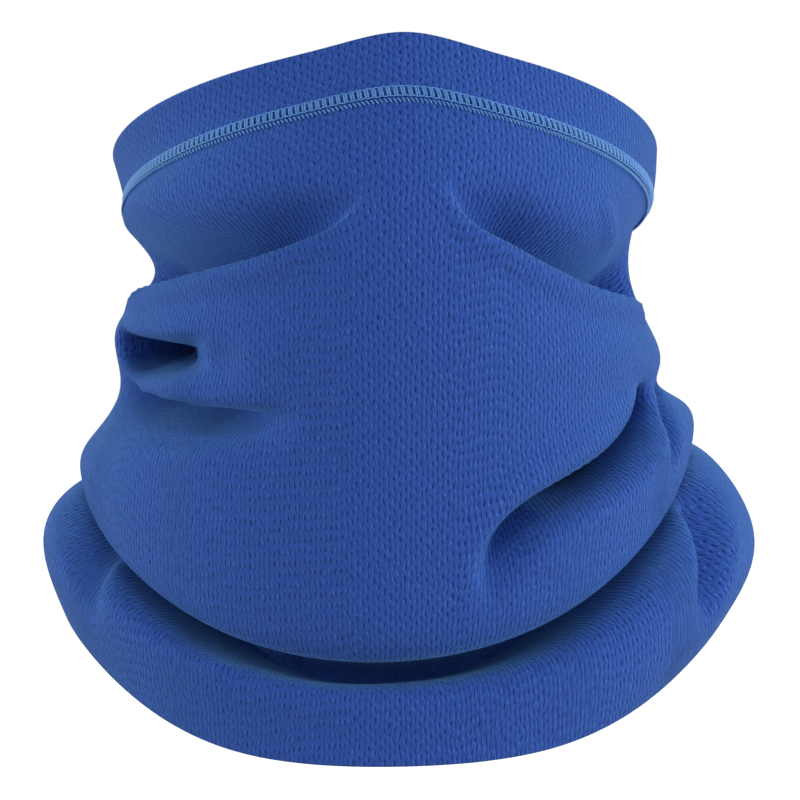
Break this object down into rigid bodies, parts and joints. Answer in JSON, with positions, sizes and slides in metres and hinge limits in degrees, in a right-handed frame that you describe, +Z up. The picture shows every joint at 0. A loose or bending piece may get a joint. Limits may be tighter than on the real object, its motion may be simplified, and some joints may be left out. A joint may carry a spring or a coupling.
{
  "type": "knitted neck gaiter face mask",
  "caption": "Knitted cloth tube worn as a cycling face mask, folded top band, flat seam, creased cheeks and a wide shoulder flare.",
  "frame": {"origin": "on the head's axis, at the seam's height beside the cheeks, where the worn band is held", "axes": "+Z up along the head's axis, -Y the way the face looks, +X the wearer's left"},
  "size_m": [0.2256, 0.2065, 0.2145],
  "materials": {
    "royal_blue_knit": "matte mesh knit",
    "royal_blue_band": "matte mesh knit, folded double",
    "light_blue_thread": "slightly shiny sewing thread"
  },
  "bodies": {
    "root": {"knit_tube": "royal_blue_knit", "face_band": "royal_blue_band", "seam_ladder": "light_blue_thread", "seam_chain": "light_blue_thread"}
  },
  "joints": []
}
